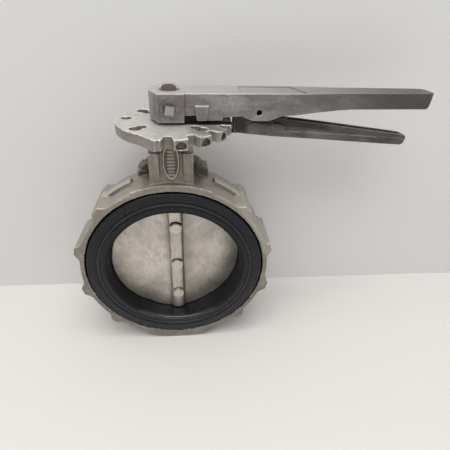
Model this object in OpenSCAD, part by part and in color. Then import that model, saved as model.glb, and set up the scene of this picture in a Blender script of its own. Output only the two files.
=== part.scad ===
// Butterfly valve: wafer body, rubber seated disc, and a lever handle that latches on a notched plate.
// Frame: origin at the middle of the pipe bore, +Z up the stem, +Y along the pipe,
// +X along the handle of the closed valve. Millimetres and degrees.

/* [Ring] */
// Thickness of the ring between the two pipe flanges
ring_depth = 56; // [50:1:60]
// Radius of the ring between its lobes
ring_radius = 105; // [102:0.5:107]
// Radius to the tips of the lobes, which rest against the flange bolts
lobe_radius = 111.3; // [109:0.1:112]
// Height of the bore's centre above the flat foot
foot_drop = 111; // [110:0.5:114]
// Half the width of the flat foot
foot_half_width = 14; // [10:1:18]

/* [Seat] */
// Radius of the rubber bore
seat_bore_radius = 75.3; // [75.3:0.1:76]
// Outer radius of the seat's sealing faces
seat_face_radius = 98; // [95:0.5:99]
// How far the rubber stands proud of the metal face
seat_proud = 1; // [0.5:0.1:1.5]

/* [Disc] */
// Radius of the disc
disc_radius = 75; // [74:0.1:75]
// Thickness of the disc beside the shaft boss
disc_middle_thickness = 14.4; // [14:0.2:17]
// Radius of the shaft boss down the disc's middle
disc_boss_radius = 11.9; // [11.5:0.1:12.5]
// Turn of the closed disc from square
disc_turn = 4.6; // [0:0.1:5]

/* [Neck and plate] */
// Half the width of the neck
neck_half_width = 21.6; // [20:0.2:24]
// Height of the notched plate's top face
plate_top = 163.6; // [160:0.2:165]
// Radius of the plate's plain side
plate_radius = 51.6; // [50:0.2:54]
// Radius to the tips of the plate's teeth
tooth_radius = 59.5; // [58:0.5:60]
// Angle from one notch to the next
notch_step = 22.5; // [22.5]
// Diameter of the large actuator bolt circle
bolt_circle = 82.55; // [82.55]
// Diameter of the small actuator bolt circle
small_bolt_circle = 68; // [66:1:70]

/* [Stem] */
// Radius of the stem
stem_radius = 8.5; // [8:0.1:8.6]
// Height of the stem's rounded top end
stem_top = 196.6; // [193:0.2:198]

/* [Handle] */
// Turn of the closed handle from square
rest_turn = 2.4; // [0:0.1:3]
// Half the width of the handle's hub
hub_half_width = 20.6; // [19:0.2:22]
// Height of the handle's flat top
handle_top = 191.4; // [190:0.2:193]
// Distance from the stem's axis to the handle's far end
handle_end = 261; // [250:1:280]

/* [Latch lever] */
// Half the width of the lever's grip
lever_half_width = 6; // [5.6:0.1:6.6]
// Thickness of the lever's walls
lever_wall = 2.2; // [1.8:0.1:2.6]

/* [Hidden] */
$fn = 72;
smooth = 180;
big = 400;

cast = [0.62, 0.59, 0.55];
machined = [0.78, 0.77, 0.75];
handle_grey = [0.52, 0.51, 0.50];
lever_grey = [0.40, 0.39, 0.37];
rubber_black = [0.06, 0.06, 0.07];
bronze = [0.72, 0.52, 0.26];
steel = [0.70, 0.70, 0.71];

// lobes, one every lobe_step except the two beside the neck
lobe_step = 30;
lobe_first = 15;
lobe_tip_radius = 4;
lobe_nose_half_width = 3;
lobe_foot_half_width = 13;

// half depths along the pipe
metal_face = ring_depth / 2;
rubber_face = metal_face + seat_proud;

// seat: a sleeve with a flange at each face
seat_sleeve_radius = 86;
seat_flange_depth = 9;
seat_gap = 1.5;

// neck and plate
neck_half_depth = 22;
neck_panel_half_width = 11.4;
neck_shoulder = 137;
plate_thickness = 10;
plate_bottom = plate_top - plate_thickness;
notch_floor_radius = 49.5;
notch_count = 5;
bolt_hole_radius = 5.5;
small_bolt_hole_radius = 4.4;

// stack in the neck, from the bottom
running_gap = 0.06;
bushing_radius = 12.5;
middle_bushing_bottom = 104;
seal_bottom = 131;
seal_top = 138;
washer_seat = 151.6;
washer_thickness = 1.8;
ring_bottom = washer_seat + washer_thickness + 0.7;
ring_thickness = 1.5;
weather_seal_bottom = 157.5;
counterbore_radius = 15;
lower_bore_bottom = -106;
lower_bushing_top = -88;

// stem
stem_bottom = lower_bore_bottom + 1.6;
stem_end_rounding = 4.5;
stem_flat = 4.5;
oring_heights = [117, -95];
oring_section = 1.15;

// disc: half the thickness at its rim, and how far its dome rises from there
disc_rim_half = 3.6;
disc_dome_rise = 3.4;

// disc screws
screw_heights = [47, -3, -48];
pocket_gaps = [1, 0.6, 0.15];
screw_shank_radius = 3;
screw_head_radius = 6.3;
screw_head_height = 4.2;
screw_seat = 9.5;
screw_oring_thickness = 0.94;

// handle
hub_bottom = 165.7;
hub_front = 13;
hub_screw_height = 177.7;
set_screw_radius = 4;
arm_bottom = 171.9;
channel_half_width = 9.5;
channel_top = 186;
grip_channel_half_width = 7.5;
pivot_x = 82.6;
pivot_z = 174.3;
pin_radius = 2.5;
pin_length = 27;

// latch lever and spring
cheek_half_width = 8.2;
pad_half_width = 9.2;
band_half_width = 7;
tongue_half_width = 3;
tongue_bottom = 150.6;
tongue_start = 51;
tooth_gap = 0.35;
spring_x = 112;
spring_bottom = 151;
spring_turns = 8;
spring_radius = 3.1;
spring_wire = 0.55;

// ---- helpers ----

// turns a cylinder's axis to the front, towards -Y
module facing_front() {
    rotate([90, 0, 0]) children();
}

// an outline drawn in X and Z, made solid between two distances along Y
module slab(y_low, y_high) {
    translate([0, y_high, 0]) rotate([90, 0, 0]) linear_extrude(height = y_high - y_low) children();
}

module tube(inner, outer, low, high) {
    translate([0, 0, low]) difference() {
        cylinder(r = outer, h = high - low);
        translate([0, 0, -1]) cylinder(r = inner, h = high - low + 2);
    }
}

// a wedge of a large circle, from one angle to another
module wedge(from, to) {
    reach = 200;
    middle = (from + to) / 2;
    polygon([[0, 0], reach * [cos(from), sin(from)], reach * [cos(middle), sin(middle)],
             reach * [cos(to), sin(to)]]);
}

// part of a flat ring, drawn as an outline
module ring_part(inner, outer, from, to) {
    intersection() {
        difference() {
            circle(r = outer, $fn = smooth);
            circle(r = inner, $fn = smooth);
        }
        wedge(from, to);
    }
}

// everything that turns with the handle is drawn square and then turned to where it rests
module at_rest() {
    rotate([0, 0, rest_turn]) children();
}

// the disc and its screws sit a little ahead of the handle
module at_disc_rest() {
    rotate([0, 0, disc_turn]) children();
}

// ---- body ----

// a blunt nose with hollow flanks
module lobe(angle) {
    flank = [[90, lobe_foot_half_width], [ring_radius - 1.2, lobe_foot_half_width], [ring_radius + 0.2, 10.6],
             [ring_radius + 2, 8.4], [lobe_radius - 3.2, lobe_nose_half_width + lobe_tip_radius - 0.2]];
    rotate(angle) {
        for (side = [-1, 1]) translate([lobe_radius - lobe_tip_radius, side * lobe_nose_half_width])
            circle(r = lobe_tip_radius);
        translate([90, -lobe_nose_half_width]) square([lobe_radius - 90.1, 2 * lobe_nose_half_width]);
        polygon(concat(flank, [for (i = [len(flank) - 1 : -1 : 0]) [flank[i][0], -flank[i][1]]]));
    }
}

module ring_outline() {
    circle(r = ring_radius, $fn = smooth);
    for (angle = [lobe_first : lobe_step : 359])
        if (abs(angle - 90) > lobe_step) lobe(angle);
    foot = [[foot_half_width + 39, 21 - foot_drop], [foot_half_width + 24, 7.5 - foot_drop],
            [foot_half_width + 12, 2.2 - foot_drop], [foot_half_width, -foot_drop]];
    polygon(concat(foot, [for (i = [len(foot) - 1 : -1 : 0]) [-foot[i][0], foot[i][1]]]));
}

// the front rim is a little larger under the neck
module front_collar() {
    collar_radius = 107;
    collar_depth = 9;
    slab(-metal_face, collar_depth - metal_face) ring_part(90, collar_radius, 67, 113);
}

// webs from the neck down to the rear rim
module rear_ears() {
    for (side = [0, 1]) mirror([side, 0, 0]) slab(9, metal_face) {
        translate([30, 103.5]) circle(r = 7.2);
        polygon([[10, 90], [37.2, 90], [37.2, 103.5], [35, 108.5], [25, 116], [10, 120.5]]);
    }
}

module side_bars() {
    bar_height = 3.8;
    for (side = [0, 1]) mirror([side, 0, 0])
        slab(-2.5, 8.5) ring_part(95, ring_radius + bar_height, 45, 66);
}

// shadow grooves cast along the front of the bars
module side_bar_grooves() {
    for (side = [0, 1]) mirror([side, 0, 0])
        slab(-4.3, -2.5) ring_part(ring_radius - 2, ring_radius + 8, 46, 66.5);
}

// a low spreading foot where the neck meets the ring
module neck_foot() {
    low = 90;
    step = 101;
    high = 104.5;
    out = neck_half_width + 2;
    slab(-metal_face, metal_face)
        polygon([[-out, low], [out, low], [out, step], [neck_half_width, high],
                 [-neck_half_width, high], [-out, step]]);
}

module neck() {
    set_back = 5;
    low = 80;
    translate([-neck_half_width, -neck_half_depth, low])
        cube([2 * neck_half_width, 2 * neck_half_depth, neck_shoulder - low]);
    translate([-neck_half_width, set_back - neck_half_depth, low])
        cube([2 * neck_half_width, 2 * (neck_half_depth - set_back), plate_bottom + 1 - low]);
    neck_foot();
}

// the sunk panel between the neck's two side columns, with a floor that ramps out at its foot
module neck_panel() {
    panel_foot = 108;
    ramp_top = 116;
    panel_depth = 2.6;
    surface = -neck_half_depth;
    translate([-neck_panel_half_width, 0, 0]) rotate([90, 0, 90])
        linear_extrude(height = 2 * neck_panel_half_width)
            polygon([[surface - 1, panel_foot], [surface, panel_foot], [surface + panel_depth, ramp_top],
                     [surface + panel_depth, plate_bottom - 0.8], [surface - 1, plate_bottom - 0.8]]);
}

module oval(half_width, half_height) {
    polygon([for (a = [0 : 9 : 351]) [half_width * cos(a), half_height * sin(a)]]);
}

// raised oval plate with a rim and level ribs, on the front panel
module cartouche() {
    centre = 128.8;
    half_width = 8;
    half_height = 18.5;
    rim = 1.1;
    translate([0, 0, centre]) {
        slab(0.9 - neck_half_depth, 6 - neck_half_depth) oval(half_width - 0.3, half_height - 0.3);
        slab(-0.4 - neck_half_depth, 6 - neck_half_depth) difference() {
            oval(half_width, half_height);
            oval(half_width - rim, half_height - rim);
        }
        for (z = [-13.6 : 3.4 : 13.6]) slab(-0.1 - neck_half_depth, 6 - neck_half_depth)
            translate([-4.6 + abs(z) / 10, z - 0.8]) square([9.2 - abs(z) / 5, 1.6]);
    }
}

module notch() {
    floor_half = 3.4;
    mouth_half = 5.6;
    mouth = tooth_radius + 10;
    polygon([[notch_floor_radius, -floor_half], [notch_floor_radius + 6, -floor_half - 0.5],
             [notch_floor_radius + 8, 0.4 - mouth_half], [mouth, -mouth_half],
             [mouth, mouth_half], [notch_floor_radius + 8, mouth_half - 0.4],
             [notch_floor_radius + 6, floor_half + 0.5], [notch_floor_radius, floor_half]]);
}

module plate_outline() {
    difference() {
        union() {
            circle(r = plate_radius, $fn = smooth);
            intersection() {
                circle(r = tooth_radius, $fn = smooth);
                polygon([[0, 0], [-10.3, -62], [0, -80], [80, -80], [80, 12], [62, 11]]);
            }
            polygon([[-44.7, -24.2], [-10.2, -61.6], [0, -50], [0, 0]]);
        }
        for (k = [0 : notch_count - 1]) rotate(-90 + notch_step * k) notch();
    }
}

// arched pockets in the lower half of the teeth's outer faces
module tooth_pockets() {
    arch_radius = 4.5;
    arch_height = 3.2;
    sill = 1.3;
    for (k = [0 : notch_count - 2]) rotate([0, 0, -90 + notch_step * (k + 0.5)])
        translate([tooth_radius - 4, 0, plate_bottom]) rotate([90, 0, 90]) linear_extrude(height = 10)
            intersection() {
                translate([0, arch_height]) circle(r = arch_radius);
                translate([-arch_radius, sill]) square([2 * arch_radius, 10]);
            }
}

module plate_holes() {
    stop_hole_radius = 5;
    stop_hole = [-41.6, 2.8];
    for (k = [0 : 3]) rotate([0, 0, 45 + 90 * k]) {
        translate([bolt_circle / 2, 0, plate_bottom - 1])
            cylinder(r = bolt_hole_radius, h = plate_thickness + 2);
        translate([small_bolt_circle / 2, 0, plate_bottom - 1])
            cylinder(r = small_bolt_hole_radius, h = plate_thickness + 2);
    }
    translate([stop_hole[0], stop_hole[1], plate_bottom - 1])
        cylinder(r = stop_hole_radius, h = plate_thickness + 2);
}

module seat_pocket() {
    facing_front() cylinder(r = seat_sleeve_radius + 0.05, h = ring_depth + 2, center = true, $fn = smooth);
    pocket_depth = seat_flange_depth - seat_proud + 0.05;
    for (side = [-1, 1]) translate([0, side * metal_face, 0]) facing_front()
        cylinder(r = seat_face_radius + seat_gap, h = 2 * pocket_depth, center = true, $fn = smooth);
}

module stem_bore() {
    bore = bushing_radius + 0.02;
    cylinder(r = bore, h = big);
    translate([0, 0, washer_seat]) cylinder(r = counterbore_radius, h = big);
    translate([0, 0, lower_bore_bottom]) cylinder(r = bore, h = 40);
}

module body() {
    collar_radius = 27;
    color(cast) {
        difference() {
            union() {
                slab(-metal_face, metal_face) ring_outline();
                front_collar();
                rear_ears();
                side_bars();
                neck();
                translate([0, 0, plate_bottom]) linear_extrude(height = plate_thickness) plate_outline();
                translate([0, 0, plate_bottom - 5]) cylinder(r = collar_radius, h = 6);
            }
            neck_panel();
            mirror([0, 1, 0]) neck_panel();
            side_bar_grooves();
            seat_pocket();
            stem_bore();
            tooth_pockets();
            plate_holes();
        }
        cartouche();
    }
}

// ---- seat, bushings and seals ----

// flange, sealing bead and lead-in at one face of the seat, as radius and distance along the pipe
function seat_edge(side) = [for (p = [
    [seat_sleeve_radius, rubber_face - seat_flange_depth],
    [seat_face_radius, rubber_face - seat_flange_depth],
    [seat_face_radius, rubber_face - 1.2], [seat_face_radius - 1, rubber_face - 0.2],
    [88.2, rubber_face - 0.2], [87.4, rubber_face - 1.2], [86.6, rubber_face - 1.2], [85.8, rubber_face],
    [84.6, rubber_face], [83.6, rubber_face - 1], [82.6, rubber_face - 0.4], [76.4, rubber_face - 0.4],
    [75.6, rubber_face - 0.8], [seat_bore_radius, rubber_face - 1.6]]) [p[0], side * p[1]]];

function backwards(list) = [for (i = [len(list) - 1 : -1 : 0]) list[i]];

module seat_liner() {
    color(rubber_black) difference() {
        facing_front() rotate_extrude($fn = smooth) polygon(concat(seat_edge(1), backwards(seat_edge(-1))));
        cylinder(r = stem_radius + running_gap, h = big, center = true);
    }
}

module upper_bushing() {
    color(bronze) tube(stem_radius + running_gap, bushing_radius, seal_top + 0.5, washer_seat);
}

module middle_bushing() {
    color(bronze) tube(stem_radius + running_gap, bushing_radius, middle_bushing_bottom, seal_bottom - 0.5);
}

module lower_bushing() {
    color(bronze) tube(stem_radius + running_gap, bushing_radius, lower_bore_bottom + 0.1, lower_bushing_top);
}

module stem_seal() {
    lip_groove = 3;
    color(rubber_black) difference() {
        tube(stem_radius + running_gap, bushing_radius, seal_bottom, seal_top);
        tube(9.7, 11.3, seal_top - lip_groove, seal_top + 1);
    }
}

module thrust_washer() {
    color(bronze) tube(stem_radius + running_gap, counterbore_radius - 0.3, washer_seat + 0.02,
                       washer_seat + washer_thickness);
}

module weather_seal() {
    color(rubber_black)
        tube(stem_radius + running_gap, counterbore_radius - 0.05, weather_seal_bottom, plate_top);
}

// ---- parts that turn with the handle ----

// half of the stem's outline, as radius and height
module stem_outline() {
    edge = stem_radius - stem_end_rounding;
    polygon(concat([[0, stem_bottom], [stem_radius - 1, stem_bottom], [stem_radius, stem_bottom + 1]],
        [for (a = [0 : 10 : 90]) [edge, stem_top - stem_end_rounding] + stem_end_rounding * [cos(a), sin(a)]],
        [[0, stem_top]]));
}

module stem() {
    ring_groove = 1.1;
    oring_groove = 2.4;
    color(steel) difference() {
        rotate_extrude() difference() {
            stem_outline();
            translate([stem_radius - ring_groove, ring_bottom - 0.1]) square([3, ring_thickness + 0.2]);
            for (z = oring_heights) translate([stem_radius - oring_groove, z - 1.6]) square([4, 3.2]);
        }
        at_rest() translate([-20, -20 - stem_flat, hub_bottom]) cube([40, 20, 40]);
        at_disc_rest() for (z = screw_heights) translate([0, 0, z]) facing_front()
            cylinder(r = screw_shank_radius + 0.02, h = 40, center = true);
    }
}

// how far the disc's face stands above its rim, at a radius
function disc_dome(r) = disc_dome_rise * cos(90 * pow((r - 8) / 66, 1.3));

// upper half of the disc's section, as radius and thickness
module disc_half_outline() {
    polygon(concat([[0, -1], [0, disc_rim_half + disc_dome_rise]],
        [for (r = [14 : 7.25 : 72]) [r, disc_rim_half + disc_dome(r)]],
        [[disc_radius + 5, disc_rim_half], [disc_radius + 5, -1]]));
}

// round boss along the stem, with straight sides where it stands out of the disc
module disc_boss() {
    half_width = 7.5;
    intersection() {
        cylinder(r = disc_boss_radius, h = big, center = true);
        cube([2 * half_width, 40, big], center = true);
    }
}

// thick band across the disc that carries the shaft boss from rim to rim
module disc_band() {
    crest = disc_middle_thickness / 2;
    linear_extrude(height = 160, center = true)
        polygon([[-34, -4], [-17, 0.5 - crest], [-9, -crest], [9, -crest], [17, 0.5 - crest], [34, -4],
                 [34, 4], [17, crest - 0.5], [9, crest], [-9, crest], [-17, crest - 0.5], [-34, 4]]);
}

module disc() {
    color(machined) at_disc_rest() difference() {
        intersection() {
            sphere(r = disc_radius, $fn = smooth);
            union() {
                facing_front() rotate_extrude($fn = smooth) {
                    disc_half_outline();
                    mirror([0, 1]) disc_half_outline();
                }
                disc_boss();
                disc_band();
            }
        }
        cylinder(r = stem_radius + 0.03, h = big, center = true);
        for (k = [0 : len(screw_heights) - 1]) translate([0, 0, screw_heights[k]]) facing_front() {
            cylinder(r = screw_shank_radius + 0.3, h = 40, center = true);
            translate([0, 0, screw_seat]) cylinder(r = screw_head_radius + pocket_gaps[k], h = 20);
        }
    }
}

module disc_screws() {
    head_low = screw_seat + screw_oring_thickness + 0.06;
    color(steel) at_disc_rest() for (z = screw_heights) translate([0, 0, z]) facing_front() {
        translate([0, 0, -10]) cylinder(r = screw_shank_radius, h = 11 + head_low);
        translate([0, 0, head_low]) cylinder(r = screw_head_radius, h = screw_head_height);
        translate([0, 0, head_low + screw_head_height - 0.1]) cylinder(r = screw_head_radius - 0.5, h = 0.6);
    }
}

module disc_screw_orings() {
    color(rubber_black) at_disc_rest() for (z = screw_heights) translate([0, 0, z]) facing_front()
        tube(screw_shank_radius + 0.4, screw_head_radius - 1, screw_seat + 0.02,
             screw_seat + screw_oring_thickness);
}

module stem_orings() {
    color(rubber_black) for (z = oring_heights) translate([0, 0, z]) rotate_extrude()
        translate([stem_radius - oring_section - 0.05, 0]) circle(r = oring_section, $fn = 24);
}

module stem_retaining_ring() {
    gap = 4;
    color(steel) at_rest() difference() {
        tube(stem_radius - 1, stem_radius + 2.6, ring_bottom, ring_bottom + ring_thickness);
        translate([-gap / 2, 0, ring_bottom - 1]) cube([gap, 20, 4]);
    }
}

module hub_washer() {
    washer_radius = 12.2;
    color(steel) tube(stem_radius + 0.1, washer_radius, plate_top + 0.3, hub_bottom);
}

// side view of the handle, in X and Z
module handle_side() {
    back = -22;
    polygon([[back, hub_bottom], [hub_front, hub_bottom], [hub_front, 167.3], [48, 167.3],
             [48.6, 170.4], [66.6, 170.9], [71.5, 168.6], [75.5, 167.1],
             [82, 166.6], [92.5, 166.7], [97, 168], [101, 169.6], [105, 170.9], [119, 171.7],
             [141.6, 174], [158, 175.1], [176, 176.2], [handle_end - 6.4, 176.3],
             [handle_end - 3.8, 177.6], [handle_end, 188.8], [handle_end - 1.4, handle_top],
             [back, handle_top]]);
}

// one side of the handle's plan, in X and Y, widest at the hub and narrow at the grip
module handle_half_plan() {
    end_radius = 12.2;
    end_centre = handle_end - 11;
    polygon([[-18.5, 0], [-18.5, 5], [-11, hub_half_width], [hub_front, hub_half_width],
             [hub_front + 0.6, 19], [120, 17.2], [163, 13.4], [end_centre, end_radius], [end_centre, 0]]);
    intersection() {
        translate([end_centre, 0]) circle(r = end_radius);
        translate([end_centre - 1, 0]) square([end_radius, end_radius]);
    }
}

module handle_block() {
    intersection() {
        slab(-30, 30) handle_side();
        translate([0, 0, 150]) linear_extrude(height = 60) {
            handle_half_plan();
            mirror([0, 1]) handle_half_plan();
        }
    }
}

// the arm's front wall is cut away between the hub and the pad
module arm_notch() {
    translate([0, -30, 160]) cube([21.4, 23, arm_bottom - 160]);
}

// raised pad low on the arm's front face
module stop_pad() {
    slab(-20.6, -17) polygon([[22.8, 180.7], [35.3, 180.7], [33.7, 167.5], [24.5, 167.5]]);
}

// shallow sunk panel on the arm's top
module top_panel() {
    panel_depth = 0.9;
    translate([0, 0, handle_top - panel_depth]) linear_extrude(height = 10)
        polygon([[66, -13.5], [128, -13.5], [118.5, 13.2], [66, 13.2]]);
}

module handle() {
    dish_depth = 0.8;
    dish_radius = 9.5;
    bore_chamfer = 0.9;
    color(handle_grey) at_rest() difference() {
        union() {
            difference() {
                handle_block();
                translate([hub_front, 0, 0]) arm_notch();
            }
            stop_pad();
        }
        top_panel();
        translate([44, -channel_half_width, 150]) cube([82, 2 * channel_half_width, channel_top - 150]);
        translate([120, -grip_channel_half_width, 150])
            cube([handle_end - 133, 2 * grip_channel_half_width, channel_top - 150]);
        difference() {
            cylinder(r = stem_radius + 0.04, h = big);
            translate([-20, -20.05 - stem_flat, 0]) cube([40, 20, big]);
        }
        translate([0, 0, handle_top - bore_chamfer])
            cylinder(r1 = stem_radius, r2 = stem_radius + bore_chamfer + 0.5, h = bore_chamfer + 0.5);
        translate([0, 0, hub_screw_height]) facing_front() {
            cylinder(r = set_screw_radius + 0.05, h = 40);
            translate([0, 0, hub_half_width - dish_depth]) cylinder(r = dish_radius, h = 10);
        }
        translate([pivot_x, 0, pivot_z]) facing_front()
            cylinder(r = pin_radius + 0.01, h = 80, center = true);
    }
}

module handle_set_screw() {
    head = 8;
    head_height = 4.6;
    head_tilt = -10;
    color(steel) at_rest() translate([0, 0, hub_screw_height]) facing_front() {
        translate([0, 0, stem_flat + 0.05])
            cylinder(r = set_screw_radius, h = hub_half_width + 1 - stem_flat);
        translate([0, 0, hub_half_width + 0.2]) rotate([0, 0, head_tilt])
            translate([-head / 2, -head / 2, 0]) cube([head, head, head_height]);
    }
}

module pivot_pin() {
    color(steel) at_rest() translate([pivot_x, 0, pivot_z]) facing_front() difference() {
        cylinder(r = pin_radius, h = pin_length, center = true);
        cylinder(r = pin_radius - 1.3, h = pin_length + 2, center = true);
    }
}

// round wire wound about an upright axis, as rings of points joined into one tube
module latch_spring() {
    sides = 6;
    steps = spring_turns * 12;
    rise = channel_top - spring_bottom - 2 * spring_wire - 0.2;
    points = [for (i = [0 : steps], j = [0 : sides - 1])
        let (turn = 30 * i, around = 360 * j / sides, r = spring_radius + spring_wire * cos(around))
        [r * cos(turn), r * sin(turn), rise * i / steps + spring_wire * sin(around)]];
    walls = [for (i = [0 : steps - 1], j = [0 : sides - 1], half = [0, 1])
        let (here = i * sides, next = here + sides, k = (j + 1) % sides)
            half == 0 ? [here + j, here + k, next + k] : [here + j, next + k, next + j]];
    first = [for (j = [sides - 1 : -1 : 0]) j];
    last = [for (j = [0 : sides - 1]) steps * sides + j];
    color(steel) at_rest() translate([spring_x, 0, spring_bottom + spring_wire + 0.1])
        polyhedron(points, concat(walls, [first, last]), convexity = 10);
}

// ---- latch lever ----

module lever_side() {
    polygon([[62, 152], [69.4, 151.4], [97, 148.4], [151, 144.6], [198, 141], [240, 138], [243, 139.2],
             [245.6, 145.8], [243.5, 148.2], [234.5, 149.8], [189, 155.6], [163, 159], [130, 163],
             [104, 166], [92, 166], [70, 160], [62, 160]]);
}

// side view of the wide cheeks that carry the pivot
module lever_cheek() {
    boss_radius = 6.6;
    translate([pivot_x, pivot_z]) circle(r = boss_radius);
    polygon([[60.8, 154], [64, 152.6], [100, 151], [108, 155.5], [101, 162], [94.5, 167], [88.9, 172],
             [76.3, 172], [74.5, 169.8], [68, 168.6], [60.8, 167.6]]);
}

// raised pad low on the cheek
module lever_pad() {
    polygon([[68, 152.2], [97, 149.2], [111, 148.2], [114, 152.5], [110.5, 158.6], [107, 160.8],
             [80, 162.4], [74, 160.2], [67, 154]]);
}

// the lower half of the grip's side stands out a little
module lever_band() {
    polygon([[96, 148.5], [151, 144.6], [198, 141], [240, 138], [243, 139.2], [244.6, 143],
             [238, 145.4], [179, 149.6], [128, 152.8], [110, 153.6]]);
}

module lever_hollow() {
    grip_hollow = lever_half_width - lever_wall;
    cheek_hollow = cheek_half_width - lever_wall;
    slab(-grip_hollow, grip_hollow)
        polygon([[94, 152], [151, 148], [198, 144.4], [238, 141.4], [243, 170], [240, 190], [94, 190]]);
    slab(-cheek_hollow, cheek_hollow) polygon([[66, 157], [94, 154], [94, 190], [66, 190]]);
}

// the tongue's top stays just under the plate's teeth
module tongue() {
    translate([tongue_start, -tongue_half_width, tongue_bottom])
        cube([16, 2 * tongue_half_width, plate_bottom - tooth_gap - tongue_bottom]);
}

module latch_lever() {
    dimple = [80.8, 160.3];
    color(lever_grey) at_rest() difference() {
        union() {
            slab(-lever_half_width, lever_half_width) lever_side();
            slab(-cheek_half_width, cheek_half_width) lever_cheek();
            slab(-pad_half_width, pad_half_width) lever_pad();
            slab(-band_half_width, band_half_width) lever_band();
            tongue();
        }
        lever_hollow();
        translate([pivot_x, 0, pivot_z]) facing_front()
            cylinder(r = pin_radius + running_gap, h = 80, center = true);
        translate([dimple[0], -pad_half_width, dimple[1]]) facing_front()
            cylinder(r = 1.3, h = 2, center = true);
    }
}

// ---- nodes ----

body();
seat_liner();
upper_bushing();
middle_bushing();
lower_bushing();
stem_seal();
thrust_washer();
weather_seal();
stem();
disc();
disc_screws();
disc_screw_orings();
stem_orings();
stem_retaining_ring();
hub_washer();
handle();
handle_set_screw();
pivot_pin();
latch_spring();
latch_lever();
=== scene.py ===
"""Looks of a wafer butterfly valve with a latching lever handle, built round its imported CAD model.

Lengths are in metres in the model's own frame: origin in the middle of the pipe bore, +Z up the stem,
+Y along the pipe, +X along the handle of the closed valve.
"""

import math

import bmesh
import bpy
import numpy as np
from mathutils import Matrix, Vector, noise


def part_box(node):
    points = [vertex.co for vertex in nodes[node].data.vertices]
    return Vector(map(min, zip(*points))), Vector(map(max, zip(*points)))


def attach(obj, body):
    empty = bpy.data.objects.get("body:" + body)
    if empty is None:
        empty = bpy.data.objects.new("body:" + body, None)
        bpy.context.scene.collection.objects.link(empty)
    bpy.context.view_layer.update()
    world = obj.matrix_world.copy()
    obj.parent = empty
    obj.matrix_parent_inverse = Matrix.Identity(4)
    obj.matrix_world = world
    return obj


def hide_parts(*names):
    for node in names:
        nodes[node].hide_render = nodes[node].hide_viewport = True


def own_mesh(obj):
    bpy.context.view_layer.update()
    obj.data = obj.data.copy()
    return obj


MM = 0.001
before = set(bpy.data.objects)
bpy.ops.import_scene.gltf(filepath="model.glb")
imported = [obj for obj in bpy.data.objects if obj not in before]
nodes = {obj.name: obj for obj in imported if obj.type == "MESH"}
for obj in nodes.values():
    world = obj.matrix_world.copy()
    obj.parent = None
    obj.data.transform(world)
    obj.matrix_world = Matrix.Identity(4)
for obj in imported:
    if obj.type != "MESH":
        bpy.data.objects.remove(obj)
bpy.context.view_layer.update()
scene = bpy.context.scene

# places that several sections use, read from the frame
BODY_LOW, BODY_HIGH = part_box("body")
PLATE_TOP = BODY_HIGH.z
HANDLE_LOW, HANDLE_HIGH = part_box("handle")
SEAT_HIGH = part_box("seat_liner")[1]
SCREWS_LOW, SCREWS_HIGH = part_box("disc_screws")
SPRING_LOW, SPRING_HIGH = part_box("latch_spring")

# places that the boxes don't give
HANDLE_TURN = math.radians(2.4)
SCREW_HEIGHTS = (47 * MM, -3 * MM, -48 * MM)
POCKET_GAPS = (1.0 * MM, 0.6 * MM, 0.15 * MM)
HUB_SCREW = (0, HANDLE_LOW.y, 177.7 * MM)
STEM_HOLE_RADIUS = 8.56 * MM
OVAL_HEIGHT = 128.8 * MM
OVAL_HALF_SIZES = (8 * MM, 18.5 * MM)


# ---- shader helpers ----

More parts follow.
